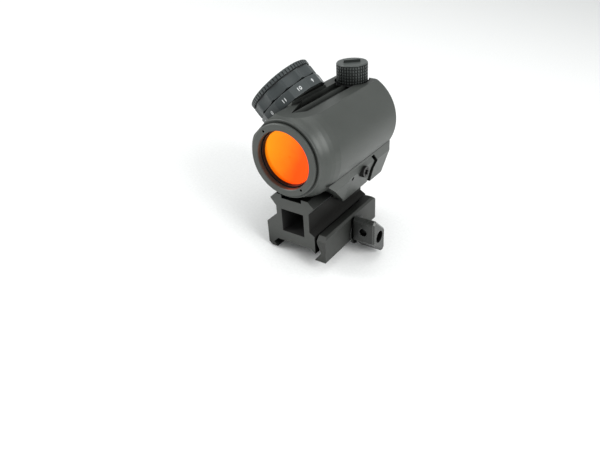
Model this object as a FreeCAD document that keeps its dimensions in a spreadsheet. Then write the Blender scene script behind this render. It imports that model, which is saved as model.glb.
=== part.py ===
import FreeCAD, Part
import Sketcher
import math
import os
import re

# Red dot sight with a riser, in millimetres.
# X is to the shooter's right, Y runs from the front lens to the eyepiece, Z is up.
# Z = 0 is the flat seat that rests on the rail, Y = 0 is the middle of the riser.

doc = FreeCAD.newDocument("red_dot_sight")
V = FreeCAD.Vector

SIZES = {
    # rail and riser
    "rail_half": 10.6, "riser_length": 41.0, "web_half": 7.9, "seat_half": 8.5,
    "side_x": 10.3, "wall_x": 13.4, "rail_top": 21.9, "rail_flat": 7.8, "tip_z": 19.3,
    "neck_z": 16.2, "shoulder_z": 12.4, "wall_z": 7.3, "claw_z": 4.3, "rail_tip_z": 2.74,
    "channel_half": 4.8, "channel_z": 20.3, "window_half": 5.4, "window_low": 4.9,
    "window_high": 15.3,
    # clamp plate and its nut
    "open_gap": 1.0, "plate_lip": 11.4, "plate_x": 15.4, "plate_top": 7.1, "plate_low": 4.6,
    "bolt_y": 3.9, "bolt_z": 1.8, "bolt_r": 1.9, "washer_r": 6.0, "washer_t": 0.5,
    "nut_end": 26.3, "nut_half": 4.8, "nut_tip": 9.2,
    # tube
    "axis_z": 38.9, "body_r": 18.6, "bore_r": 13.6, "bezel_r": 14.56, "front_y": 24.04,
    "collar_y": 22.6, "body_front": 20.3, "body_rear": 32.2, "rear_lip": 33.3, "rear_y": 35.9,
    "deck_h": 16.1, "spot_h": 15.1, "lens_r": 11.6,
    # turrets, measured from the tube axis
    "turret_y": 27.1, "spigot_r": 5.5, "spigot_top": 19.9, "stem_r": 2.15, "cap_r": 6.56,
    "cap_low": 15.55, "cap_top": 23.6,
    # brightness dial, measured from the tube axis
    "dial_y": 2.1, "boss_r": 14.6, "dial_low": 15.6, "skirt_r": 14.5, "grip_r": 14.15,
    "gap_h": 20.2, "grip_top": 25.0, "battery_r": 10.0, "battery_h": 20.75,
    "cap_flange": 25.42, "dial_top": 27.5,
    # sight base and its side jaw
    "flank_x": 15.9, "flank_z": 24.6, "foot_x": 12.1, "foot_z": 13.0, "jaw_in": 10.85,
    "screw_y": 10.4, "screw_z": 23.2, "guide_y": 2.3,
    # moving optical tube
    "tube_out": 11.5, "tube_in": 10.4, "pivot_y": 14.0, "tube_end": 29.3,
}


def fill_sheet():
    sheet = doc.addObject("Spreadsheet::Sheet", "Sizes")
    for row, (alias, value) in enumerate(SIZES.items(), start=1):
        sheet.set("A%d" % row, alias)
        sheet.set("B%d" % row, str(value))
        sheet.setAlias("B%d" % row, alias)
    doc.recompute()
    return sheet


def linked(text):
    """The expression with every size name pointing at the sheet."""
    name = lambda m: "Sizes." + m.group() if m.group() in SIZES else m.group()
    return re.sub(r"[a-z][a-z_]+", name, str(text))


def value(text):
    found = sheet.evalExpression(linked(text))
    return float(getattr(found, "Value", found))


def bind(item, prop, text):
    setattr(item, prop, value(text))
    item.setExpression(prop, linked(text))


def outline(sketch, points):
    """A closed polygon whose corners are tied to the sheet."""
    spots = [V(value(a), value(b), 0) for a, b in points]
    count = len(spots)
    for i in range(count):
        sketch.addGeometry(Part.LineSegment(spots[i], spots[(i + 1) % count]), False)
    for i in range(count):
        sketch.addConstraint(Sketcher.Constraint("Coincident", i, 2, (i + 1) % count, 1))
    for i, (a, b) in enumerate(points):
        for kind, text, size in (("DistanceX", a, spots[i].x), ("DistanceY", b, spots[i].y)):
            k = sketch.addConstraint(Sketcher.Constraint(kind, -1, 1, i, 1, size))
            sketch.setExpression("Constraints[%d]" % k, linked(text))
    return sketch


def body_sketch(body, role, points):
    sketch = body.newObject("Sketcher::SketchObject", body.Name + "_" + role[:2].lower())
    plane = [f for f in body.Origin.OriginFeatures if f.Role == role][0]
    sketch.AttachmentSupport = (plane, [""])
    sketch.MapMode = "FlatFace"
    return outline(sketch, points)


def turned(name, profile):
    """A body turned about local Z from (radius, height) corners."""
    body = doc.addObject("PartDesign::Body", name)
    sketch = body_sketch(body, "XZ_Plane", profile)
    spin = body.newObject("PartDesign::Revolution", name + "_spin")
    spin.Profile = sketch
    spin.ReferenceAxis = (sketch, ["V_Axis"])
    spin.Angle = 360
    sketch.Visibility = False
    return body


def ring(name, inner, outer, low, high):
    return turned(name, [(inner, low), (outer, low), (outer, high), (inner, high)])


def disc(name, outer, low, high):
    return ring(name, "0", outer, low, high)


def padded(name, role, points, length, symmetric=True):
    """A body padded from a polygon: XZ gives (x, z), YZ gives (y, z)."""
    body = doc.addObject("PartDesign::Body", name)
    sketch = body_sketch(body, role, points)
    pad = body.newObject("PartDesign::Pad", name + "_pad")
    pad.Profile = sketch
    bind(pad, "Length", length)
    if symmetric:
        pad.Midplane = True
    sketch.Visibility = False
    return body


def block(name, x, y, z):
    """A box from three (low, high) pairs."""
    box = doc.addObject("Part::Box", name)
    for prop, axis, (low, high) in (("Length", "x", x), ("Width", "y", y), ("Height", "z", z)):
        bind(box, prop, "(%s) - (%s)" % (high, low))
        box.setExpression("Placement.Base." + axis, linked(low))
    return box


AIM = {"x": FreeCAD.Rotation(V(0, 1, 0), 90), "-x": FreeCAD.Rotation(V(0, 1, 0), -90),
       "y": FreeCAD.Rotation(V(1, 0, 0), -90), "z": FreeCAD.Rotation(),
       "dial": FreeCAD.Rotation(V(0, 1, 0), -45)}


def rod(name, radius, length, start, aim="z"):
    """A cylinder from a start point along one of the named directions."""
    bar = doc.addObject("Part::Cylinder", name)
    bind(bar, "Radius", radius)
    bind(bar, "Height", length)
    put(bar, start, aim)
    return bar


def put(item, start, aim="z"):
    item.Placement = FreeCAD.Placement(V(*[value(s) for s in start]), AIM[aim])
    for axis, text in zip("xyz", start):
        item.setExpression("Placement.Base." + axis, linked(text))
    return item


def joined(name, items):
    fuse = doc.addObject("Part::MultiFuse", name)
    fuse.Shapes = items
    return fuse


def less(name, base, tools):
    tool = tools[0] if len(tools) == 1 else joined(name + "_tools", tools)
    cut = doc.addObject("Part::Cut", name)
    cut.Base, cut.Tool = base, tool
    return cut


def both(name, first, second):
    common = doc.addObject("Part::MultiCommon", name)
    common.Shapes = [first, second]
    return common


def spread(name, item, centre, axis, count, step):
    """Copies of an item turned about an axis, as one tool."""
    copies = []
    for i in range(count):
        copy = doc.addObject("Part::Feature", "%s_%02d" % (name, i))
        shape = item.Shape.copy()
        shape.rotate(centre, axis, step * i)
        copy.Shape = shape
        copies.append(copy)
    item.Visibility = False
    return joined(name, copies)


nodes = {}


def keep(node, item):
    item.Label = node
    nodes[node] = item
    return item


# ---- riser -----------------------------------------------------------------

def make_riser():
    block_body = padded("riser_bar", "XZ_Plane", [
        ("-rail_half + claw_z - rail_tip_z", "-claw_z"), ("-rail_half - 0.2", "-rail_tip_z + 0.2"),
        ("-rail_half - 0.2", "-2.3"), ("-seat_half", "0"), ("seat_half", "0"),
        ("side_x", "-1.6"), ("side_x", "6.5"), ("web_half", "7.9"), ("web_half", "neck_z"),
        ("rail_half", "tip_z"), ("rail_flat", "rail_top"), ("channel_half", "rail_top"),
        ("channel_half", "channel_z"), ("-channel_half", "channel_z"),
        ("-channel_half", "rail_top"), ("-rail_flat", "rail_top"), ("-rail_half", "tip_z"),
        ("-web_half", "neck_z"), ("-web_half", "shoulder_z"), ("-wall_x", "wall_z"),
        ("-wall_x", "-3.0"), ("-wall_x + 1.3", "-claw_z")], "riser_length")
    window = block("riser_window", ("-window_half", "window_half"), ("-riser_length", "riser_length"),
                   ("window_low", "window_high"))
    drill = rod("riser_drill", "bolt_r + 0.02", "30", ("-15", "bolt_y", "-bolt_z"), "x")
    pins = [rod("riser_pin_hole_%d" % i, "0.9", "6", ("6.3", y, "5"), "x")
            for i, y in enumerate(("-12", "15"))]
    keep("riser_block", less("riser_cut", block_body, [window, drill] + pins))


def make_clamp():
    head = rod("bolt_head", "2.6", "1.4", ("-wall_x - 1.4", "bolt_y", "-bolt_z"), "x")
    shank = rod("bolt_shank", "bolt_r", "wall_x + 23.6", ("-wall_x", "bolt_y", "-bolt_z"), "x")
    socket = rod("bolt_socket", "1.3", "1.2", ("-wall_x - 1.5", "bolt_y", "-bolt_z"), "x")
    keep("cross_bolt", less("bolt_cut", joined("bolt_bar", [head, shank]), [socket]))
    keep("clamp_guide_pins", joined("guide_pair", [
        rod("guide_pin_%d" % i, "0.9", "7.3", ("6.3", y, "5"), "x")
        for i, y in enumerate(("-12", "15"))]))
    plate = padded("plate_bar", "XZ_Plane", [
        ("rail_half + open_gap - claw_z + rail_tip_z", "-claw_z"),
        ("rail_half + open_gap - claw_z + rail_tip_z", "-plate_low"),
        ("plate_x - 0.4", "-plate_low"), ("plate_x", "-plate_low + 0.4"),
        ("plate_x", "plate_top - 0.8"), ("plate_x - 0.8", "plate_top"),
        ("plate_lip", "plate_top"), ("plate_lip", "4.2"), ("13", "-0.1"),
        ("13", "13 - rail_half - open_gap - rail_tip_z")], "riser_length")
    tools = [rod("plate_drill", "bolt_r + 0.06", "8", ("9", "bolt_y", "-bolt_z"), "x")]
    tools += [rod("plate_pin_hole_%d" % i, "0.96", "3.9", ("11", y, "5"), "x")
              for i, y in enumerate(("-12", "15"))]
    for i, side in enumerate((-1, 1)):
        corner = block("plate_corner_%d" % i, ("10", "17"), ("-1.4", "1.4"), ("-1.4", "1.4"))
        corner.Placement.Rotation = FreeCAD.Rotation(V(1, 0, 0), 0)
        turn = FreeCAD.Rotation(V(1, 0, 0), 45)
        centre = V(0, side * (SIZES["riser_length"] / 2 + 0.1), SIZES["plate_top"] + 0.1)
        offset = turn.multVec(V(10, -1.4, -1.4))
        corner.setExpression("Placement.Base.x", None)
        corner.setExpression("Placement.Base.y", None)
        corner.setExpression("Placement.Base.z", None)
        corner.Placement = FreeCAD.Placement(centre + offset, turn)
        tools.append(corner)
    keep("clamp_plate", less("plate_cut", plate, tools))
    washer = ring("nut_washer_ring", "bolt_r + 0.06", "washer_r", "plate_x", "plate_x + washer_t")
    keep("nut_washer", put(washer, ("0", "bolt_y", "-bolt_z"), "x"))


def long_edges(shape, axis):
    names = []
    for i, edge in enumerate(shape.Edges, start=1):
        ends = [v.Point for v in edge.Vertexes]
        if len(ends) == 2 and abs((ends[1] - ends[0]).normalize().dot(axis)) > 0.999:
            names.append("Edge%d" % i)
    return names


def make_nut():
    """A thumb nut of skewed lozenge section, drilled across its two long flats."""
    body = padded("nut_bar", "YZ_Plane", [
        ("-nut_half", "7.6"), ("-3", "nut_tip"), ("nut_half", "1.7"), ("nut_half", "-7.6"),
        ("3", "-nut_tip"), ("-nut_half", "-1.7")], "nut_end - plate_x - washer_t", False)
    doc.recompute()
    pad = body.Tip
    rounding = body.newObject("PartDesign::Fillet", "nut_round")
    rounding.Base = (pad, long_edges(pad.Shape, V(1, 0, 0)))
    rounding.Radius = 0.9
    doc.recompute()
    ends = [f for f in rounding.Shape.Faces if abs(abs(f.normalAt(0, 0).x) - 1) < 1e-6]
    names = []
    for i, edge in enumerate(rounding.Shape.Edges, start=1):
        if any(edge.isSame(e) for f in ends for e in f.Edges):
            names.append("Edge%d" % i)
    bevel = body.newObject("PartDesign::Chamfer", "nut_bevel")
    bevel.Base = (rounding, names)
    bevel.Size = 0.7
    put(body, ("plate_x + washer_t", "bolt_y", "-bolt_z"))
    mid = "(plate_x + washer_t + nut_end) / 2"
    tools = [rod("nut_drill", "bolt_r + 0.05", "14", ("plate_x", "bolt_y", "-bolt_z"), "x"),
             rod("nut_mouth", "2.7", "6", ("22.3", "bolt_y", "-bolt_z"), "x"),
             rod("nut_hole_a", "1.75", "2.6", (mid, "bolt_y - nut_half - 1", "-bolt_z + 3"), "y"),
             rod("nut_hole_b", "1.75", "2.6", (mid, "bolt_y + nut_half - 1.6", "-bolt_z - 3"), "y")]
    keep("thumb_nut", less("nut_cut", body, tools))


# ---- sight housing ---------------------------------------------------------

TUBE = ("0", "0", "axis_z")
DIAL = ("0", "dial_y", "axis_z")


def jaw_side(name, shift, back):
    """The jaw's side view, grown by shift at the front and by back at the rear."""
    return padded(name, "YZ_Plane", [
        ("5.7 - %s" % shift, "8"), ("-2 - %s" % shift, "14.9"), ("-2 - %s" % shift, "27.9 + %s" % shift),
        ("16.3 + %s" % back, "27.9 + %s" % shift), ("20 + %s" % back, "23.8"),
        ("18.7 + %s" % back, "20.5"), ("20.8 + %s" % back, "8")], "60")


def make_housing():
    shell = put(turned("shell", [
        ("0", "-collar_y"), ("15.5", "-collar_y"), ("15.75", "-collar_y + 0.25"),
        ("15.75", "-collar_y + 0.9"), ("15.9", "-collar_y + 1.4"), ("16.4", "-collar_y + 2.4"),
        ("17.1", "-collar_y + 3.5"), ("17.7", "-collar_y + 4.8"), ("18.2", "-collar_y + 6.8"),
        ("body_r", "-collar_y + 10"), ("body_r", "body_rear - 0.5"),
        ("body_r - 0.5", "body_rear"), ("16.6", "body_rear + 0.3"), ("15.6", "body_rear + 0.7"),
        ("15.4", "rear_lip"), ("0", "rear_lip")]), TUBE, "y")
    base = padded("base_bar", "XZ_Plane", [
        ("-foot_x", "foot_z"), ("-8.3", "foot_z"), ("-8.3", "16.6"), ("-10.75", "tip_z"),
        ("-8", "rail_top + 0.02"), ("8", "rail_top + 0.02"), ("10.75", "tip_z"), ("8.3", "16.6"),
        ("8.3", "foot_z"), ("foot_x", "foot_z"), ("flank_x", "flank_z"), ("flank_x", "29"),
        ("10", "32"), ("-10", "32"), ("-flank_x", "29"), ("-flank_x", "flank_z")], "80")
    side = padded("base_side", "YZ_Plane", [
        ("-19.9", "31"), ("0.1", "foot_z"), ("body_rear - 0.4", "foot_z"),
        ("body_rear - 0.4", "45"), ("-19.9", "45")], "60")
    base_common = both("base_block", base, side)
    deck = block("deck_tool", ("-15", "15"), ("-30", "40"), ("axis_z + deck_h", "axis_z + 30"))
    lowered = less("shell_flat", shell, [deck])
    boss = put(turned("boss_cone", [
        ("0", "6"), ("18", "6"), ("17.4", "9.5"), ("16.2", "dial_low - 2.6"),
        ("boss_r + 0.2", "dial_low - 0.8"), ("boss_r", "dial_low"), ("0", "dial_low")]),
        DIAL, "dial")
    lean = padded("boss_trim", "XZ_Plane", [
        ("-4.6", "axis_z + deck_h - 3"), ("-4.6", "axis_z + 23"), ("25", "axis_z + 23"),
        ("25", "axis_z + deck_h - 3")], "60")
    solid = joined("housing_solid", [lowered, base_common, less("boss_cut", boss, [lean])])
    bore = rod("bore_tool", "bore_r", "70", ("0", "-30", "axis_z"), "y")
    steps = [rod("seal_step_a", "14.25", "0.45", ("0", "-collar_y", "axis_z"), "y"),
             rod("seal_step_b", "14.25", "0.45", ("0", "rear_lip - 0.45", "axis_z"), "y")]
    seat = rod("dial_seat", "boss_r + 0.3", "12",
               ("-dial_low / sqrt(2)", "dial_y", "axis_z + dial_low / sqrt(2)"), "dial")
    ledge = both("dial_ledge", padded("dial_ledge_side", "XZ_Plane", [
        ("(-12 - dial_low + 0.6) / sqrt(2)", "axis_z + (-12 + dial_low - 0.6) / sqrt(2)"),
        ("(12 - dial_low + 0.6) / sqrt(2)", "axis_z + (12 + dial_low - 0.6) / sqrt(2)"),
        ("-18 / sqrt(2)", "axis_z + 42 / sqrt(2)"), ("-42 / sqrt(2)", "axis_z + 18 / sqrt(2)")], "80"),
        block("dial_ledge_length", ("-40", "20"), ("-30", "dial_y - 12.9"), ("axis_z", "90")))
    wires = rod("wire_hole", "3", "8", ("-11 / sqrt(2)", "dial_y", "axis_z + 11 / sqrt(2)"), "dial")
    spots = [rod("spot_top", "7.4", "8", ("0", "turret_y", "axis_z + spot_h")),
             rod("spot_side", "7.4", "8", ("-spot_h", "turret_y", "axis_z"), "-x"),
             rod("turret_hole_top", "4.5", "5", ("0", "turret_y", "axis_z + 12")),
             rod("turret_hole_side", "4.5", "5", ("-12", "turret_y", "axis_z"), "-x")]
    pins = [rod("pitch_hole_a", "0.6", "3", ("12.5", "-pivot_y", "axis_z"), "x"),
            rod("pitch_hole_b", "0.6", "3", ("-12.5", "-pivot_y", "axis_z"), "-x")]
    pocket = both("jaw_pocket", jaw_side("jaw_pocket_side", "0.2", "1.3"),
                  block("jaw_pocket_depth", ("8", "20"), ("-5", "30"), ("5", "28.1")))
    keeper = block("jaw_wall", ("5", "jaw_in - 0.15"), ("-5", "30"), ("rail_top", "30"))
    pocket = less("jaw_space", pocket, [keeper])
    bolts = [rod("base_screw_hole", "1.15", "9", ("2", "screw_y", "screw_z"), "x"),
             rod("base_guide_hole", "0.8", "8", ("3.4", "guide_y", "screw_z"), "x")]
    channel = padded("rail_space", "XZ_Plane", [
        ("-8.3", "10"), ("-8.3", "16.6"), ("-10.75", "tip_z"), ("-8", "rail_top + 0.02"),
        ("8", "rail_top + 0.02"), ("10.75", "tip_z"), ("8.3", "16.6"), ("8.3", "10")], "80")
    tools = [bore, seat, ledge, wires, pocket, channel, make_grooves()] + steps + spots + pins + bolts
    keep("sight_housing", less("housing_cut", solid, tools))


def make_grooves():
    """Two grooves side by side in the deck, meeting in a point at the front."""
    top = "axis_z + deck_h"
    section = padded("groove_section", "XZ_Plane", [
        ("-4.4", top + " + 1"), ("-4.4", top), ("-3.9", top + " - 1.9"), ("-0.8", top + " - 1.9"),
        ("0", top + " - 0.15"), ("0.8", top + " - 1.9"), ("3.9", top + " - 1.9"), ("4.4", top),
        ("4.4", top + " + 1")], "60")
    plan = doc.addObject("PartDesign::Body", "groove_plan")
    sketch = body_sketch(plan, "XY_Plane", [
        ("0", "-16.4"), ("4.4", "-12.2"), ("4.4", "turret_y - 6"), ("-4.4", "turret_y - 6"),
        ("-4.4", "-3.2")])
    pad = plan.newObject("PartDesign::Pad", "groove_plan_pad")
    pad.Profile = sketch
    pad.Length = 80
    return both("groove_tool", section, plan)


def make_jaw():
    section = padded("jaw_section", "XZ_Plane", [
        ("jaw_in", "27.9"), ("flank_x - 0.8", "27.9"), ("flank_x - 0.8", "flank_z - 0.1"),
        ("foot_x - 0.8", "foot_z"), ("8.4", "foot_z"), ("8.4", "16.5"), ("jaw_in", "tip_z")], "80")
    blank = both("jaw_blank", section, jaw_side("jaw_outline", "0", "0"))
    tools = [rod("jaw_drill", "1.2", "8", ("9", "screw_y", "screw_z"), "x"),
             rod("jaw_counterbore", "2.5", "6", ("13.4", "screw_y", "screw_z"), "x"),
             rod("jaw_guide_hole", "0.86", "8", ("9", "guide_y", "screw_z"), "x")]
    keep("base_clamp_jaw", less("jaw_cut", blank, tools))
    screw = joined("screw_bar", [
        rod("screw_head", "2.4", "2.9", ("13.45", "screw_y", "screw_z"), "x"),
        rod("screw_stem", "1.1", "8.3", ("5.2", "screw_y", "screw_z"), "x")])
    lobes = [rod("lobe_core", "1.1", "2", ("15", "screw_y", "screw_z"), "x")]
    for i in range(6):
        turn = math.radians(60 * i)
        lobes.append(rod("lobe_%d" % i, "0.38", "2", (
            "15", "screw_y + %.4f" % (1.2 * math.cos(turn)),
            "screw_z + %.4f" % (1.2 * math.sin(turn))), "x"))
    keep("base_clamp_screw", less("screw_cut", screw, lobes))
    keep("jaw_guide_pin", rod("jaw_pin", "0.8", "10.2", ("3.4", "guide_y", "screw_z"), "x"))


# ---- lenses and bezels -----------------------------------------------------

def make_front():
    bezel = put(turned("bezel_front_ring", [
        ("10.8", "-17.1"), ("10.8", "-17.5"), ("lens_r + 0.1", "-17.5"),
        ("lens_r + 0.1", "-front_y + 0.3"), ("lens_r + 0.4", "-front_y"),
        ("bezel_r - 0.35", "-front_y"), ("bezel_r", "-front_y + 0.35"),
        ("bezel_r", "-collar_y - 0.2"), ("bezel_r - 0.3", "-collar_y"),
        ("bore_r - 0.02", "-collar_y"), ("bore_r - 0.02", "-17.1")]), TUBE, "y")
    holes = []
    for i, (dx, dz) in enumerate(((-7.7, 10.4), (7.8, -10.2))):
        holes.append(rod("spanner_hole_%d" % i, "0.5", "1",
                         (str(dx), "-front_y - 0.1", "axis_z + %s" % dz), "y"))
    keep("front_bezel", less("bezel_front_cut", bezel, holes))
    keep("objective_lens", put(turned("objective_disc", [
        ("0", "-19.2"), ("4", "-19.3"), ("8", "-19.7"), ("lens_r", "-20.3"),
        ("lens_r", "-17.6"), ("8", "-17.3"), ("4", "-17.0"), ("0", "-16.9")]), TUBE, "y"))
    keep("objective_retainer", put(turned("objective_ring", [
        ("10.9", "-20.4"), ("lens_r + 0.08", "-20.4"), ("lens_r + 0.08", "-21.7"),
        ("11.2", "-21.7")]), TUBE, "y"))
    keep("front_seal", put(ring("front_seal_ring", "bore_r + 0.02", "14.2", "-collar_y + 0.03",
                                "-collar_y + 0.42"), TUBE, "y"))


def make_rear():
    keep("rear_bezel", put(turned("bezel_rear_ring", [
        ("10.8", "30.4"), ("bore_r - 0.02", "30.4"), ("bore_r - 0.02", "rear_lip"),
        ("bezel_r - 0.3", "rear_lip"), ("bezel_r", "rear_lip + 0.25"),
        ("bezel_r", "rear_y - 0.4"), ("bezel_r - 0.4", "rear_y"), ("12.1", "rear_y"),
        ("lens_r", "rear_y - 0.5"), ("lens_r", "31"), ("10.8", "31")]), TUBE, "y"))
    keep("eyepiece_lens", put(turned("eyepiece_disc", [
        ("0", "31.1"), ("11.5", "31.1"), ("11.5", "32.4"), ("7", "32.9"), ("0", "33.1")]), TUBE, "y"))
    keep("eyepiece_retainer", put(turned("eyepiece_ring", [
        ("10.8", "32.75"), ("11.56", "32.75"), ("11.56", "34"), ("11", "34")]), TUBE, "y"))
    keep("rear_seal", put(ring("rear_seal_ring", "bore_r + 0.02", "14.2", "rear_lip - 0.42",
                               "rear_lip - 0.03"), TUBE, "y"))


# ---- turrets ---------------------------------------------------------------

RIDGE_TURN = math.radians(38)


def make_turret(side, aim):
    """Fixed spigot, slotted adjuster, knurled screw cap with a tool ridge, and its gasket."""
    start = ("0", "turret_y", "axis_z")
    spigot = put(turned(side + "_spigot", [
        ("stem_r + 0.05", "13.7"), ("4.48", "13.7"), ("4.48", "spot_h"), ("spigot_r", "spot_h"),
        ("spigot_r", "spigot_top - 0.4"), ("spigot_r - 0.4", "spigot_top"),
        ("stem_r + 0.05", "spigot_top")]), start, aim)
    keep(side + "_turret_base", spigot)
    stem = turned(side + "_stem", [
        ("0", "tube_out + 0.45"), ("1.2", "tube_out + 0.45"), ("stem_r", "tube_out + 1.2"),
        ("stem_r", "spigot_top + 0.05"), ("4.2", "spigot_top + 0.05"), ("4.2", "21.2"),
        ("3.9", "21.5"), ("0", "21.5")])
    slot = block(side + "_slot", ("-5", "5"), ("-0.6", "0.6"), ("20.7", "23"))
    keep(side + "_adjuster", put(less(side + "_adjuster_cut", stem, [slot]), start, aim))
    profile = [("0", "22.1"), ("5.6", "22.1"), ("5.6", "cap_low"), ("cap_r - 0.25", "cap_low")]
    rings = 6
    for i in range(rings):
        low = "cap_low + 0.25 + %.3f" % (i * 1.22)
        profile += [("cap_r", low), ("cap_r", low + " + 0.72"), ("cap_r - 0.3", low + " + 0.97")]
    profile += [("cap_r", "cap_top - 0.45"), ("cap_r - 0.35", "cap_top"), ("0", "cap_top")]
    blank = turned(side + "_cap_blank", profile)
    doc.recompute()
    tooth = block(side + "_tooth", ("cap_r - 0.36", "cap_r + 1"), ("-0.24", "0.24"),
                  ("cap_low - 1", "cap_top - 0.5"))
    doc.recompute()
    knurl = spread(side + "_knurl", tooth, V(0, 0, 0), V(0, 0, 1), 36, 10)
    ridge = padded(side + "_ridge", "XY_Plane", [
        ("%.4f" % (x * math.cos(RIDGE_TURN) - y * math.sin(RIDGE_TURN)),
         "%.4f" % (x * math.sin(RIDGE_TURN) + y * math.cos(RIDGE_TURN)))
        for x, y in ((-3.4, -0.6), (3.4, -0.6), (3.4, 0.6), (-3.4, 0.6))], "1.3", False)
    put(ridge, ("0", "0", "cap_top - 0.3"))
    cap = joined(side + "_cap_whole", [less(side + "_cap_cut", blank, [knurl]), ridge])
    keep(side + "_cap", put(cap, start, aim))
    keep(side + "_cap_seal", put(ring(side + "_gasket", "spigot_r + 0.08", "6.5", "spot_h + 0.05",
                                      "cap_low - 0.03"), start, aim))


# ---- brightness dial -------------------------------------------------------

def make_dial():
    keep("dial_base", less("dial_base_cut", put(turned("dial_base_ring", [
        ("6", "dial_low"), ("12.84", "dial_low"), ("12.84", "19.5"), ("6", "19.5")]), DIAL, "dial"),
        [put(disc("detent_well", "0.62", "dial_low + 0.1", "20"), ("11 / sqrt(2)", "dial_y",
             "axis_z + 11 / sqrt(2)"), "dial")]))
    keep("switch_board", put(disc("board_disc", "5.9", "dial_low + 0.05", "dial_low + 1"),
                             DIAL, "dial"))
    keep("contact_spring", put(turned("contact_cone", [
        ("3.2", "dial_low + 1.02"), ("3.7", "dial_low + 1.02"), ("1.5", "20.6"), ("1.0", "20.6")]),
        DIAL, "dial"))
    keep("detent_spring", put(disc("detent_coil", "0.5", "dial_low + 0.12", "18.4"), (
        "11 / sqrt(2)", "dial_y", "axis_z + 11 / sqrt(2)"), "dial"))
    keep("detent_ball", put(turned("detent_bead", [
        ("0", "18.45"), ("0.42", "18.6"), ("0.6", "19.05"), ("0.42", "19.48"), ("0", "19.64")]), (
        "11 / sqrt(2)", "dial_y", "axis_z + 11 / sqrt(2)"), "dial"))
    knob = turned("dial_knob", [
        ("5", "19.7"), ("12.92", "19.7"), ("12.92", "dial_low + 0.2"), ("skirt_r - 0.2", "dial_low + 0.2"),
        ("skirt_r", "dial_low + 0.4"), ("skirt_r", "gap_h - 0.3"), ("skirt_r - 0.3", "gap_h"),
        ("13.2", "gap_h"), ("13.2", "gap_h + 0.5"), ("grip_r - 0.3", "gap_h + 0.5"),
        ("grip_r", "gap_h + 0.8"), ("grip_r", "grip_top - 0.2"), ("grip_r - 0.2", "grip_top"),
        ("10.95", "grip_top"), ("10.95", "20.7"), ("5", "20.7")])
    doc.recompute()
    scallop = rod("scallop_tool", "9", "grip_top - gap_h", ("22.25", "0", "gap_h + 0.3"))
    flat = block("flat_tool", ("skirt_r * cos(15)", "17"), ("-4", "4"), ("dial_low", "gap_h + 0.1"))
    doc.recompute()
    tools = [spread("scallop_ring", scallop, V(0, 0, 0), V(0, 0, 1), 12, 30),
             spread("flat_ring", flat, V(0, 0, 0), V(0, 0, 1), 12, 30)]
    keep("brightness_dial", put(less("dial_cut", knob, tools), DIAL, "dial"))
    keep("battery", put(turned("battery_cell", [
        ("0", "battery_h"), ("8.6", "battery_h"), ("8.8", "battery_h + 0.3"),
        ("battery_r", "battery_h + 0.5"), ("battery_r", "battery_h + 3.2"),
        ("0", "battery_h + 3.2")]), DIAL, "dial"))


def make_battery_cap():
    lid = turned("lid_blank", [
        ("0", "24.1"), ("10.85", "24.1"), ("10.85", "cap_flange"), ("grip_r - 0.25", "cap_flange"),
        ("grip_r - 0.05", "cap_flange + 0.2"), ("grip_r - 0.05", "dial_top - 0.3"),
        ("grip_r - 0.4", "dial_top"), ("0", "dial_top")])
    doc.recompute()
    tooth = block("lid_tooth", ("grip_r - 0.3", "grip_r + 1"), ("-0.22", "0.22"),
                  ("cap_flange - 1", "dial_top - 0.5"))
    doc.recompute()
    teeth = spread("lid_knurl", tooth, V(0, 0, 0), V(0, 0, 1), 60, 6)
    coin = block("lid_coin", ("-8", "8"), ("-0.9", "0.9"), ("dial_top - 1", "dial_top + 1"))
    keep("battery_cap", put(less("lid_cut", lid, [teeth, coin]), DIAL, "dial"))
    keep("battery_cap_seal", put(ring("lid_gasket", "11.1", "13.3", "grip_top + 0.03",
                                      "cap_flange - 0.03"), DIAL, "dial"))


# ---- moving optical tube ---------------------------------------------------

def make_optics():
    ring_blank = put(ring("pivot_blank", "12.1", "13.2", "-pivot_y - 1.5", "-pivot_y + 1.5"), TUBE, "y")
    holes = [rod("pivot_hole_x", "0.65", "40", ("-20", "-pivot_y", "axis_z"), "x"),
             rod("pivot_hole_z", "0.65", "40", ("0", "-pivot_y", "axis_z - 20"))]
    keep("pivot_ring", less("pivot_cut", ring_blank, holes))
    keep("pitch_pins", joined("pitch_pair", [
        rod("pitch_pin_a", "0.6", "2.7", ("12.3", "-pivot_y", "axis_z"), "x"),
        rod("pitch_pin_b", "0.6", "2.7", ("-12.3", "-pivot_y", "axis_z"), "-x")]))
    down = rod("yaw_pin_b", "0.6", "1.5", ("0", "-pivot_y", "axis_z - 12.9"))
    keep("yaw_pins", joined("yaw_pair", [
        rod("yaw_pin_a", "0.6", "1.5", ("0", "-pivot_y", "axis_z + 11.4")), down]))
    sleeve = put(turned("sleeve", [
        ("tube_in", "-15.6"), ("tube_out", "-15.6"), ("tube_out", "tube_end"),
        ("tube_in", "tube_end")]), TUBE, "y")
    keep("inner_tube", less("sleeve_cut", sleeve, [
        rod("yaw_seat", "0.6", "26", ("0", "-pivot_y", "axis_z - 13"))]))
    keep("led_holder", both("holder_block", block("holder_box", ("-2", "2"), ("20", "24"),
                            ("axis_z - 12", "axis_z - 8")),
                            rod("holder_round", "tube_in", "10", ("0", "18", "axis_z"), "y")))
    keep("led_emitter", block("emitter_box", ("-0.6", "0.6"), ("19.6", "20"),
                              ("axis_z - 9.6", "axis_z - 8.4")))
    leaf = block("return_leaf", ("-2.5", "2.5"), ("4", "22"), ("12.7", "13.1"))
    turn = FreeCAD.Rotation(V(0, 1, 0), 135)
    for axis in "xyz":
        leaf.setExpression("Placement.Base." + axis, None)
    corner = turn.multVec(V(-2.5, 4, 12.7))
    leaf.Placement = FreeCAD.Placement(V(0, 0, SIZES["axis_z"]) + corner, turn)
    keep("return_spring", leaf)


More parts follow.
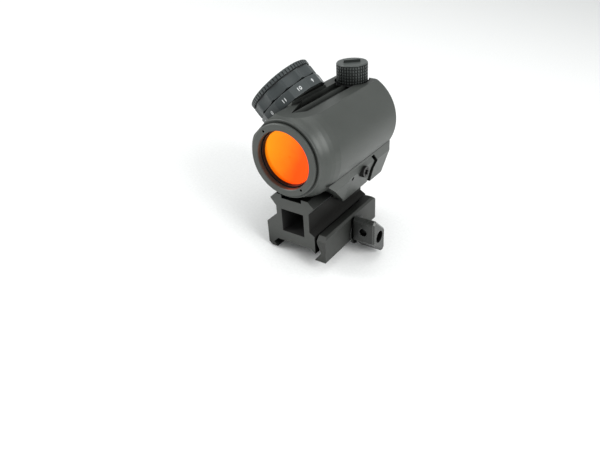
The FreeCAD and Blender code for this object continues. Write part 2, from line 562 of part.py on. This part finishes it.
def write_parts():
    doc.recompute()
    for item in doc.Objects:
        if "Invalid" in item.State or "Error" in item.State:
            raise RuntimeError("%s: %s" % (item.Name, item.State))
    os.makedirs("parts", exist_ok=True)
    for node, item in nodes.items():
        shape = item.Shape
        if shape.isNull() or not shape.isValid():
            raise RuntimeError(node + " is not valid")
        shape.exportStep("parts/%s.step" % node)
        box = shape.BoundBox
        print("%-22s solids %d volume %9.2f  x %.2f..%.2f y %.2f..%.2f z %.2f..%.2f" % (
            node, len(shape.Solids), shape.Volume, box.XMin, box.XMax, box.YMin, box.YMax,
            box.ZMin, box.ZMax))


sheet = fill_sheet()
make_riser()
make_clamp()
make_nut()
make_housing()
make_jaw()
make_front()
make_rear()
make_turret("elevation", "z")
make_turret("windage", "-x")
make_dial()
make_battery_cap()
make_optics()
write_parts()
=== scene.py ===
import math

import bmesh
import bpy
from mathutils import Matrix, Vector


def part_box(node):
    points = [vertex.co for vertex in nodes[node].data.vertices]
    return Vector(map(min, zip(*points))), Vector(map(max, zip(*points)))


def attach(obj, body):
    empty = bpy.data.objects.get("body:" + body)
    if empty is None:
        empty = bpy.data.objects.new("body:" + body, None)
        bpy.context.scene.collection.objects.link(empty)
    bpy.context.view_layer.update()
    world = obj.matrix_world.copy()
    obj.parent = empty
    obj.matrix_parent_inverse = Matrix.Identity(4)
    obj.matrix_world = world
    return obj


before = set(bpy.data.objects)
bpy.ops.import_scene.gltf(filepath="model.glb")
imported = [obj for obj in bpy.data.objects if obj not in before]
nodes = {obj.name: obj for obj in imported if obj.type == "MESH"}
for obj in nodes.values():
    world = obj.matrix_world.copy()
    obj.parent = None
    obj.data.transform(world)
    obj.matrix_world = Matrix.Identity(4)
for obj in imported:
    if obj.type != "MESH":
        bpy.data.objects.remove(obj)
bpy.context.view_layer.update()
mm = 0.001


# ---- node helpers ------------------------------------------------------------

def start(name):
    mat = bpy.data.materials.new(name)
    mat.use_nodes = True
    tree = mat.node_tree
    return mat, tree, tree.nodes["Principled BSDF"]


def link(tree, out, into):
    tree.links.new(out, into)


def noise(tree, scale, detail=4, stretch=None):
    """Noise in object space, drawn out along an axis where stretch is given."""
    coords = tree.nodes.new("ShaderNodeTexCoord")
    node = tree.nodes.new("ShaderNodeTexNoise")
    node.inputs["Scale"].default_value = scale
    node.inputs["Detail"].default_value = detail
    if stretch:
        mapping = tree.nodes.new("ShaderNodeMapping")
        mapping.inputs["Scale"].default_value = stretch
        link(tree, coords.outputs["Object"], mapping.inputs["Vector"])
        link(tree, mapping.outputs["Vector"], node.inputs["Vector"])
    else:
        link(tree, coords.outputs["Object"], node.inputs["Vector"])
    return node.outputs["Fac"]


def ramp(tree, fac, low, high, a=0.3, b=0.7):
    """A colour that runs from low to high between the positions a and b."""
    node = tree.nodes.new("ShaderNodeValToRGB")
    node.color_ramp.elements[0].position = a
    node.color_ramp.elements[1].position = b
    node.color_ramp.elements[0].color = (*low, 1)
    node.color_ramp.elements[1].color = (*high, 1)
    link(tree, fac, node.inputs["Fac"])
    return node.outputs["Color"]


def spread_value(tree, fac, low, high):
    """Maps 0..1 to low..high."""
    node = tree.nodes.new("ShaderNodeMapRange")
    node.inputs["To Min"].default_value = low
    node.inputs["To Max"].default_value = high
    link(tree, fac, node.inputs["Value"])
    return node.outputs["Result"]


def rounded_normal(tree, radius):
    """A normal that rounds hard edges over."""
    node = tree.nodes.new("ShaderNodeBevel")
    node.samples = 4
    node.inputs["Radius"].default_value = radius
    return node.outputs["Normal"]


def edge_mask(tree, normal):
    """1 along rounded edges, 0 on flats."""
    geo = tree.nodes.new("ShaderNodeNewGeometry")
    dot = tree.nodes.new("ShaderNodeVectorMath")
    dot.operation = "DOT_PRODUCT"
    link(tree, geo.outputs["Normal"], dot.inputs[0])
    link(tree, normal, dot.inputs[1])
    node = tree.nodes.new("ShaderNodeMapRange")
    node.inputs["From Min"].default_value = 1.0
    node.inputs["From Max"].default_value = 0.86
    link(tree, dot.outputs["Value"], node.inputs["Value"])
    return node.outputs["Result"]


def mixed(tree, fac, a, b):
    """A colour between a and b, each a socket or a plain colour."""
    node = tree.nodes.new("ShaderNodeMix")
    node.data_type = "RGBA"
    for socket, item in (("A", a), ("B", b)):
        target = [s for s in node.inputs if s.name == socket and s.type == "RGBA"][0]
        if isinstance(item, tuple):
            target.default_value = (*item, 1)
        else:
            link(tree, item, target)
    link(tree, fac, [s for s in node.inputs if s.name == "Factor" and s.type == "VALUE"][0])
    return [s for s in node.outputs if s.type == "RGBA"][0]


def bump(tree, fac, strength, distance, normal=None):
    """Bump on top of another normal, if there is one."""
    node = tree.nodes.new("ShaderNodeBump")
    node.inputs["Strength"].default_value = strength
    node.inputs["Distance"].default_value = distance
    link(tree, fac, node.inputs["Height"])
    if normal is not None:
        link(tree, normal, node.inputs["Normal"])
    return node.outputs["Normal"]


def occlusion(tree, shade_reach, low=0.35, high=0.92):
    """How open a point is, for painted shade: 0 deep in a recess, 1 on open faces."""
    node = tree.nodes.new("ShaderNodeAmbientOcclusion")
    node.samples = 8
    node.inputs["Distance"].default_value = shade_reach
    place = tree.nodes.new("ShaderNodeMapRange")
    place.inputs["From Min"].default_value = low
    place.inputs["From Max"].default_value = high
    link(tree, node.outputs["AO"], place.inputs["Value"])
    return place.outputs["Result"]


def inside_box(tree, low, high):
    """1 inside an object-space box, 0 outside it."""
    coords = tree.nodes.new("ShaderNodeTexCoord")
    sep = tree.nodes.new("ShaderNodeSeparateXYZ")
    link(tree, coords.outputs["Object"], sep.inputs[0])
    total = None
    for axis, a, b in zip("XYZ", low, high):
        compare = tree.nodes.new("ShaderNodeMath")
        compare.operation = "COMPARE"
        compare.inputs[1].default_value = (a + b) / 2
        compare.inputs[2].default_value = (b - a) / 2
        link(tree, sep.outputs[axis], compare.inputs[0])
        if total is None:
            total = compare.outputs[0]
            continue
        times = tree.nodes.new("ShaderNodeMath")
        times.operation = "MULTIPLY"
        link(tree, total, times.inputs[0])
        link(tree, compare.outputs[0], times.inputs[1])
        total = times.outputs[0]
    return total


def shade_box(mat, low, high, dark, gloss_left):
    """Paints shade onto the faces of one material inside a box, such as a window's inner walls:
    a darker colour and less gloss.
    """
    tree = mat.node_tree
    shader = tree.nodes["Principled BSDF"]
    colour = shader.inputs["Base Color"].links[0].from_socket
    gloss = shader.inputs["Specular IOR Level"].links[0].from_socket
    painted_shade_mask = inside_box(tree, low, high)
    link(tree, mixed(tree, painted_shade_mask, colour, dark), shader.inputs["Base Color"])
    fade = tree.nodes.new("ShaderNodeMapRange")
    fade.inputs["To Min"].default_value = 1.0
    fade.inputs["To Max"].default_value = gloss_left
    link(tree, painted_shade_mask, fade.inputs["Value"])
    times = tree.nodes.new("ShaderNodeMath")
    times.operation = "MULTIPLY"
    link(tree, gloss, times.inputs[0])
    link(tree, fade.outputs["Result"], times.inputs[1])
    link(tree, times.outputs[0], shader.inputs["Specular IOR Level"])


# ---- materials ---------------------------------------------------------------

def anodised(name, dark, light, edge_tone, rough=(0.36, 0.5), radius=0.25 * mm, shade_reach=9 * mm):
    """Bead-blasted black anodising: fine grain, faint clouding, paler edges, painted shade in
    recesses.
    """
    mat, tree, shader = start(name)
    clouds = noise(tree, 90, 5)
    speck = noise(tree, 5200, 3)
    base = ramp(tree, clouds, dark, light)
    base = mixed(tree, spread_value(tree, speck, 0.0, 0.55), base,
                 tuple(c * 1.35 for c in light))
    soft = rounded_normal(tree, radius)
    # A paler colour along rounded edges.
    colour = mixed(tree, edge_mask(tree, soft), base, edge_tone)
    # Painted shade: recesses get a much darker colour and a lower specular level.
    unshaded_fac = occlusion(tree, shade_reach)
    colour = mixed(tree, unshaded_fac, tuple(c * 0.12 for c in dark), colour)
    link(tree, colour, shader.inputs["Base Color"])
    link(tree, spread_value(tree, unshaded_fac, 0.05, 0.5), shader.inputs["Specular IOR Level"])
    link(tree, spread_value(tree, clouds, *rough), shader.inputs["Roughness"])
    link(tree, bump(tree, speck, 0.3, 0.03 * mm, soft), shader.inputs["Normal"])
    shader.inputs["Metallic"].default_value = 0.25
    return mat


def metal(name, dark, light, rough, stretch=None, metallic=1.0):
    """Bare or blackened metal with fine streaks."""
    mat, tree, shader = start(name)
    streaks = noise(tree, 1400, 4, stretch)
    link(tree, ramp(tree, streaks, dark, light), shader.inputs["Base Color"])
    link(tree, spread_value(tree, streaks, *rough), shader.inputs["Roughness"])
    link(tree, bump(tree, streaks, 0.2, 0.02 * mm, rounded_normal(tree, 0.12 * mm)),
         shader.inputs["Normal"])
    shader.inputs["Metallic"].default_value = metallic
    return mat


def rubber(name):
    """Black rubber with a little dust."""
    mat, tree, shader = start(name)
    dust = noise(tree, 900, 6)
    link(tree, ramp(tree, dust, (0.012, 0.012, 0.013), (0.03, 0.03, 0.032)),
         shader.inputs["Base Color"])
    link(tree, spread_value(tree, dust, 0.6, 0.8), shader.inputs["Roughness"])
    link(tree, bump(tree, dust, 0.3, 0.04 * mm), shader.inputs["Normal"])
    return mat


LENS_LEAN = 0.45  # how far the painted reflection's change of colour leans with height
LENS_REACH = 11.5 * mm  # half the width that the change takes up


def coated_glass_painted_glow():
    """Front lens: an orange mirror coating; its change from yellower low on the left to redder
    on the right is a painted reflection, and its glow is painted light.
    """
    mat, tree, shader = start("orange_lens_painted_glow")
    coords = tree.nodes.new("ShaderNodeTexCoord")
    sep = tree.nodes.new("ShaderNodeSeparateXYZ")
    link(tree, coords.outputs["Object"], sep.inputs[0])
    low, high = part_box("objective_lens")
    slope = tree.nodes.new("ShaderNodeMath")
    slope.operation = "SUBTRACT"
    link(tree, sep.outputs["X"], slope.inputs[0])
    rise = tree.nodes.new("ShaderNodeMath")
    rise.operation = "MULTIPLY"
    rise.inputs[1].default_value = LENS_LEAN
    link(tree, sep.outputs["Z"], rise.inputs[0])
    link(tree, rise.outputs[0], slope.inputs[1])
    place = tree.nodes.new("ShaderNodeMapRange")
    mid = (low[2] + high[2]) / 2 * LENS_LEAN
    place.inputs["From Min"].default_value = -LENS_REACH - mid
    place.inputs["From Max"].default_value = LENS_REACH - mid
    link(tree, slope.outputs[0], place.inputs["Value"])
    grain = noise(tree, 260, 3)
    blur = tree.nodes.new("ShaderNodeMath")
    blur.operation = "MULTIPLY_ADD"
    blur.inputs[1].default_value = 0.12
    link(tree, grain, blur.inputs[0])
    link(tree, place.outputs["Result"], blur.inputs[2])
    colour = ramp(tree, blur.outputs[0], (0.96, 0.24, 0.004), (1.0, 0.062, 0.001), 0.08, 0.8)
    link(tree, colour, shader.inputs["Base Color"])
    # The colour also feeds the emission, so the lens glows: painted light, not a lamp.
    link(tree, colour, shader.inputs["Emission Color"])
    shader.inputs["Emission Strength"].default_value = 0.58
    link(tree, spread_value(tree, grain, 0.1, 0.16), shader.inputs["Roughness"])
    shader.inputs["Metallic"].default_value = 0.5
    shader.inputs["Specular IOR Level"].default_value = 0.1
    shader.inputs["Coat Weight"].default_value = 0.03
    shader.inputs["Coat Roughness"].default_value = 0.04
    return mat


def clear_glass():
    """Rear lens: clear glass with a bluish coating."""
    mat, tree, shader = start("eyepiece_glass")
    smear = noise(tree, 120, 4)
    link(tree, ramp(tree, smear, (0.08, 0.1, 0.14), (0.12, 0.11, 0.15)),
         shader.inputs["Base Color"])
    link(tree, spread_value(tree, smear, 0.03, 0.09), shader.inputs["Roughness"])
    shader.inputs["Transmission Weight"].default_value = 0.5
    shader.inputs["IOR"].default_value = 1.5
    shader.inputs["Coat Weight"].default_value = 0.8
    shader.inputs["Coat Tint"].default_value = (0.6, 0.7, 1.0, 1)
    return mat


def paint(name, low, high):
    """Matt paint with slightly uneven tone."""
    mat, tree, shader = start(name)
    patch = noise(tree, 2400, 3)
    link(tree, ramp(tree, patch, low, high), shader.inputs["Base Color"])
    link(tree, spread_value(tree, patch, 0.45, 0.7), shader.inputs["Roughness"])
    return mat


BODY = anodised("black_anodised_body", (0.047, 0.052, 0.047), (0.058, 0.063, 0.058),
                (0.11, 0.115, 0.11))
RISER = anodised("black_anodised_riser", (0.04, 0.043, 0.04), (0.052, 0.055, 0.051),
                 (0.1, 0.104, 0.1), (0.42, 0.56), shade_reach=14 * mm)
# A darker copy of the anodising: its extra darkness is painted shade for the plate, which sits
# under the sight body.
SHADED_PLATE = anodised("black_anodised_plate_painted_shade", (0.022, 0.024, 0.021), (0.03, 0.032, 0.029),
                 (0.075, 0.078, 0.073), (0.4, 0.54), shade_reach=12 * mm)
DIAL = anodised("black_anodised_dial", (0.036, 0.043, 0.044), (0.046, 0.054, 0.055),
                (0.11, 0.12, 0.12), (0.32, 0.45))
CAP = anodised("black_anodised_cap", (0.052, 0.06, 0.057), (0.068, 0.077, 0.073),
               (0.1, 0.105, 0.104), (0.33, 0.46), 0.12 * mm)
NUT = anodised("black_anodised_nut", (0.024, 0.026, 0.024), (0.034, 0.036, 0.034),
               (0.16, 0.165, 0.16), (0.2, 0.32), 0.4 * mm)
BORE = anodised("black_bore", (0.008, 0.006, 0.007), (0.014, 0.011, 0.012), (0.05, 0.04, 0.04))
STEEL = metal("blackened_steel", (0.03, 0.03, 0.03), (0.07, 0.07, 0.068), (0.32, 0.48),
              (1, 6, 6), 0.8)
CELL = metal("brushed_cell_steel", (0.4, 0.4, 0.39), (0.62, 0.62, 0.6), (0.2, 0.34), (8, 1, 8))
BRASS = metal("contact_brass", (0.5, 0.34, 0.1), (0.7, 0.5, 0.2), (0.25, 0.4))
RUBBER = rubber("seal_rubber")
BOARD = paint("board_green", (0.01, 0.07, 0.03), (0.02, 0.11, 0.045))
LED = paint("emitter_red", (0.35, 0.01, 0.01), (0.5, 0.03, 0.02))
WHITE = paint("white_numerals", (0.72, 0.74, 0.74), (0.86, 0.88, 0.88))

LOOKS = {
    "riser_block": RISER, "clamp_plate": SHADED_PLATE, "sight_housing": BODY, "base_clamp_jaw": BODY,
    "front_bezel": BODY, "rear_bezel": BODY, "objective_retainer": BORE,
    "eyepiece_retainer": BORE, "brightness_dial": DIAL, "battery_cap": DIAL,
    "elevation_cap": CAP, "windage_cap": CAP, "thumb_nut": NUT, "nut_washer": NUT,
    "elevation_turret_base": BODY, "windage_turret_base": BODY, "dial_base": BODY,
    "inner_tube": BORE, "led_holder": BORE, "pivot_ring": BORE,
    "objective_lens": coated_glass_painted_glow(), "eyepiece_lens": clear_glass(),
    "battery": CELL, "contact_spring": BRASS, "switch_board": BOARD, "led_emitter": LED,
    "front_seal": RUBBER, "rear_seal": RUBBER, "elevation_cap_seal": RUBBER,
    "windage_cap_seal": RUBBER, "battery_cap_seal": RUBBER,
}


def shade_riser():
    """Painted shade on the riser's window and its waist, inside its two end faces."""
    low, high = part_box("riser_block")
    front, back = low[1] + 0.2 * mm, high[1] - 0.2 * mm
    window_half, window_low, window_high = 5.6 * mm, 4.6 * mm, 15.6 * mm
    # The colours below are painted shade: dark in the window, darker on the waist under the
    # body.
    shade_box(RISER, (-window_half, front, window_low), (window_half, back, window_high),
              (0.035, 0.035, 0.035), 0.2)
    waist_in, waist_out, waist_low, waist_high = 6.1 * mm, 10.9 * mm, 5.2 * mm, 17.2 * mm
    shade_box(RISER, (-waist_out, front, waist_low), (-waist_in, back, waist_high),
              (0.016, 0.016, 0.015), 0.45)
    shade_box(RISER, (waist_in, front, waist_low), (waist_out, back, waist_high),
              (0.016, 0.016, 0.015), 0.45)


shade_riser()
for name, piece in nodes.items():
    piece.data.materials.clear()
    piece.data.materials.append(LOOKS.get(name, STEEL))


# ---- numerals on the dial skirt ----------------------------------------------

SETTINGS = 12
SETTING = 360 / SETTINGS  # degrees between settings
FIRST = 9  # the setting that faces right at rest
bezel_low, bezel_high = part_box("front_bezel")
axis_z = (bezel_low[2] + bezel_high[2]) / 2
dial_low, dial_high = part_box("brightness_dial")
dial_y = (dial_low[1] + dial_high[1]) / 2
out = Vector((-1, 0, 1)).normalized()
across = Vector((1, 0, 1)).normalized()
ahead = Vector((0, 1, 0))
centre = Vector((0, dial_y, axis_z))


def skirt_flat():
    """Distance from the dial's axis to the flats of its twelve-sided skirt."""
    piece = nodes["brightness_dial"]
    corner = 0
    for v in piece.data.vertices:
        arm = piece.matrix_world @ v.co - centre
        height = arm.dot(out)
        if 16 * mm < height < 19 * mm:
            corner = max(corner, (arm - out * height).length)
    return corner * math.cos(math.radians(SETTING / 2))


def numeral(text, angle, height, size, flat_r):
    """A painted number on one flat of the skirt, upright towards the battery cap."""
    curve = bpy.data.curves.new("numeral_" + text, "FONT")
    curve.body = text
    curve.size = size
    curve.align_x = curve.align_y = "CENTER"
    curve.offset = size * 0.004
    curve.extrude = 0.01 * mm
    curve.resolution_u = 3
    flat = bpy.data.objects.new("flat_" + text, curve)
    bpy.context.scene.collection.objects.link(flat)
    bpy.context.view_layer.update()
    mesh = bpy.data.meshes.new_from_object(flat.evaluated_get(
        bpy.context.evaluated_depsgraph_get()))
    bpy.data.objects.remove(flat)
    side = across * math.cos(angle) + ahead * math.sin(angle)
    along = ahead * math.cos(angle) - across * math.sin(angle)
    for v in mesh.vertices:
        v.co = (centre + out * (height + v.co.y) + along * v.co.x
                + side * (flat_r + v.co.z + 0.008 * mm))
    piece = bpy.data.objects.new("dial_numeral_" + text, mesh)
    bpy.context.scene.collection.objects.link(piece)
    piece.data.materials.append(WHITE)
    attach(piece, "dial_body")


skirt_r = skirt_flat()
for step in range(SETTINGS):
    numeral(str((FIRST + step) % SETTINGS), math.radians(-SETTING * step), 17.85 * mm, 2.15 * mm,
            skirt_r)


# ---- floor, lights and camera ------------------------------------------------

def floor():
    """The part rests on its bolt head and its thumb nut, so the floor leans."""
    nut_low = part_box("thumb_nut")[0]
    bolt_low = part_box("cross_bolt")[0]
    run = nut_low[0] + 0.7 * mm - bolt_low[0]
    fall = bolt_low[2] - nut_low[2]
    slope = math.atan2(fall, run)
    mesh = bpy.data.meshes.new("table")
    bm = bmesh.new()
    bmesh.ops.create_grid(bm, x_segments=8, y_segments=8, size=1.4)
    bm.to_mesh(mesh)
    bm.free()
    table = bpy.data.objects.new("table", mesh)
    bpy.context.scene.collection.objects.link(table)
    table.rotation_euler = (0, slope, 0)
    table.location = (bolt_low[0], 0, bolt_low[2] - 0.1 * mm)
    mat, tree, shader = start("white_cloth")
    weave = noise(tree, 900, 2)
    link(tree, ramp(tree, weave, (0.88, 0.885, 0.88), (0.93, 0.935, 0.93)),
         shader.inputs["Base Color"])
    link(tree, bump(tree, weave, 0.06, 0.1 * mm), shader.inputs["Normal"])
    shader.inputs["Roughness"].default_value = 0.9
    mesh.materials.append(mat)


def area(name, place, target, size, power):
    """A round soft light aimed at a point."""
    data = bpy.data.lights.new(name, "AREA")
    data.shape = "DISK"
    data.size = size
    data.energy = power
    lamp = bpy.data.objects.new(name, data)
    lamp.location = place
    lamp.rotation_mode = "QUATERNION"
    lamp.rotation_quaternion = (Vector(target) - Vector(place)).to_track_quat("-Z", "Y")
    bpy.context.scene.collection.objects.link(lamp)


def studio():
    """A pale room with a key on the right, a fill on the left and a soft top light."""
    world = bpy.data.worlds.new("studio")
    bpy.context.scene.world = world
    world.use_nodes = True
    back = world.node_tree.nodes["Background"]
    back.inputs["Color"].default_value = (0.98, 1.0, 1.0, 1)
    back.inputs["Strength"].default_value = 0.62
    look = (0, 0, 0.03)
    area("right_key", (0.5, -0.05, 0.28), look, 0.35, 2.0)
    area("left_fill", (-0.45, -0.3, 0.35), look, 0.3, 1.9)
    area("top_soft", (0.0, 0.1, 0.6), look, 0.5, 0.95)


def camera():
    """Above and to the right of the front lens, rolled a little to the left."""
    data = bpy.data.cameras.new("camera")
    data.sensor_width = 36
    data.lens = 31.37
    data.shift_x, data.shift_y = 0.0196, -0.0036
    data.clip_start = 0.005
    cam = bpy.data.objects.new("camera", data)
    turn, tilt, roll = math.radians(38.74), math.radians(31.73), math.radians(-4.77)
    forward = Vector((-math.sin(turn) * math.cos(tilt), math.cos(turn) * math.cos(tilt),
                      -math.sin(tilt)))
    right = Vector((math.cos(turn), math.sin(turn), 0))
    up = right.cross(forward)
    right, up = (right * math.cos(roll) + up * math.sin(roll),
                 up * math.cos(roll) - right * math.sin(roll))
    cam.matrix_world = Matrix.Translation((0.11078, -0.16152, 0.12122)) @ Matrix(
        (right, up, -forward)).transposed().to_4x4()
    bpy.context.scene.collection.objects.link(cam)
    bpy.context.scene.camera = cam


floor()
studio()
camera()
bpy.context.scene.view_settings.view_transform = "Standard"
